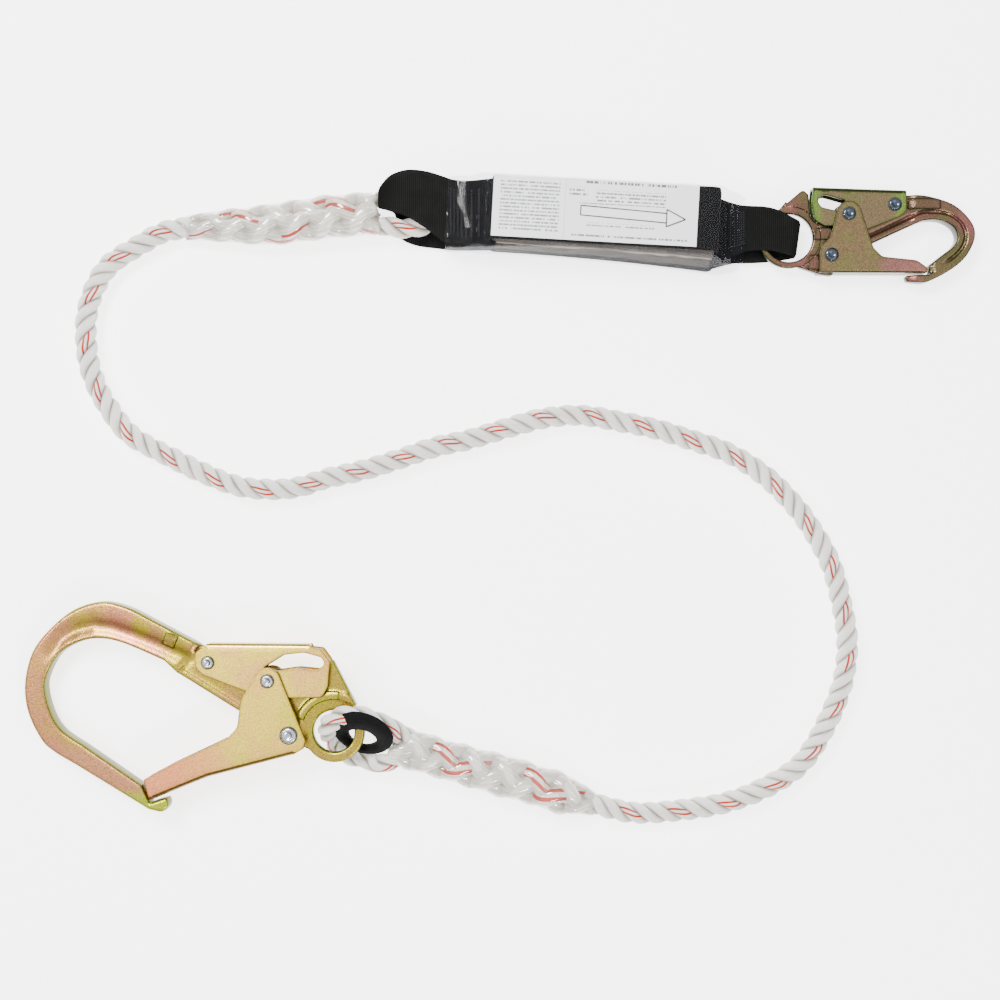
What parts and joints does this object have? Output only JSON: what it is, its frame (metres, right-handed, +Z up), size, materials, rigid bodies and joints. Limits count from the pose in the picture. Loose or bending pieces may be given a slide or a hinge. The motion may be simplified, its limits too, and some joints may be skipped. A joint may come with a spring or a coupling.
{
  "type": "shock absorbing lanyard",
  "caption": "Rope fall-arrest lanyard with a film-wrapped tear-webbing shock absorber, a large gated anchor hook on a thimbled eye and a small double-action snap hook.",
  "frame": {"origin": "on the surface that the lanyard lies on, under the centre of its bounding box without the rope", "axes": "+X from the anchor hook's bow towards the snap hook's bow, +Y towards the shock pack's side, +Z up off the surface"},
  "size_m": [0.6165, 0.4237, 0.0434],
  "materials": {
    "rope": "warm white three-strand rope",
    "sleeve_film": "clear heat-shrink film",
    "thimble": "black moulded plastic",
    "tear_webbing": "grey-brown folded webbing",
    "webbing": "black woven webbing",
    "label": "white printed label",
    "pack_film": "clear glossy shrink cover",
    "stitching": "black thread",
    "anchor_forging": "satin yellow zinc plating, pinkish",
    "anchor_plate": "satin yellow zinc plating",
    "snap_forging": "satin olive and pink zinc plating",
    "snap_plate": "satin olive zinc plating",
    "rivet": "bright zinc",
    "spring": "spring steel"
  },
  "bodies": {
    "line": {"rope": "rope", "upper_eye": "rope", "upper_splice": "rope", "upper_shrink_sleeve": "sleeve_film", "lower_eye": "rope", "lower_splice": "rope", "lower_shrink_sleeve": "sleeve_film", "thimble": "thimble", "tear_webbing": "tear_webbing", "wrap_strap": "webbing", "pack_label": "label", "pack_film": "pack_film", "rope_side_loop": "webbing", "hook_side_loop": "webbing", "rope_side_stitching": "stitching", "hook_side_stitching": "stitching"},
    "anchor_hook": {"anchor_body": "anchor_forging", "anchor_gate_rivet": "rivet", "anchor_lock_rivet": "rivet", "anchor_gate_spring": "spring", "anchor_lock_spring": "spring"},
    "anchor_gate_assembly": {"anchor_gate": "anchor_plate", "anchor_guide_pin": "rivet"},
    "anchor_lock": {"anchor_lock_lever": "anchor_plate"},
    "snap_hook": {"snap_body": "snap_forging", "snap_gate_rivet": "rivet", "snap_lock_rivet": "rivet", "snap_gate_spring": "spring", "snap_lock_spring": "spring"},
    "snap_gate_assembly": {"snap_gate": "snap_plate", "snap_guide_pin": "rivet"},
    "snap_lock": {"snap_lock_lever": "snap_plate"}
  },
  "joints": [
    {"name": "anchor_hook_swing", "type": "hinge", "parent": "line", "child": "anchor_hook", "pos_m": [-0.1062, -0.1526, 0.022], "axis": [-0.068, 0, 0.9977], "range_deg": [-22, 22]},
    {"name": "anchor_gate_pivot", "type": "hinge", "parent": "anchor_hook", "child": "anchor_gate_assembly", "pos_m": [-0.13423, -0.1546, 0.02009], "axis": [0.068, 0, -0.9977], "range_deg": [0, 36], "stiffness_Nm_per_rad": 0.2, "springref_deg": -34.38},
    {"name": "anchor_lock_pivot", "type": "hinge", "parent": "anchor_hook", "child": "anchor_lock", "pos_m": [-0.18701, -0.1089, 0.01649], "axis": [0.068, 0, -0.9977], "range_deg": [0, 12.2], "stiffness_Nm_per_rad": 0.1, "springref_deg": -17.19},
    {"name": "snap_hook_swing", "type": "hinge", "parent": "line", "child": "snap_hook", "pos_m": [0.1878, 0.1658, 0.0086], "axis": [0, 0, 1], "range_deg": [-25, 12]},
    {"name": "snap_gate_pivot", "type": "hinge", "parent": "snap_hook", "child": "snap_gate_assembly", "pos_m": [0.2143, 0.154, 0.0086], "axis": [0, 0, 1], "range_deg": [0, 24], "stiffness_Nm_per_rad": 0.1, "springref_deg": -34.38},
    {"name": "snap_lock_pivot", "type": "hinge", "parent": "snap_hook", "child": "snap_lock", "pos_m": [0.2557, 0.187, 0.0086], "axis": [0, 0, 1], "range_deg": [0, 8.8], "stiffness_Nm_per_rad": 0.05, "springref_deg": -17.19}
  ],
  "couplings": [
    {"joint": "anchor_lock_pivot", "follows": "anchor_gate_pivot", "ratio": 0.33333},
    {"joint": "snap_lock_pivot", "follows": "snap_gate_pivot", "ratio": 0.36}
  ]
}
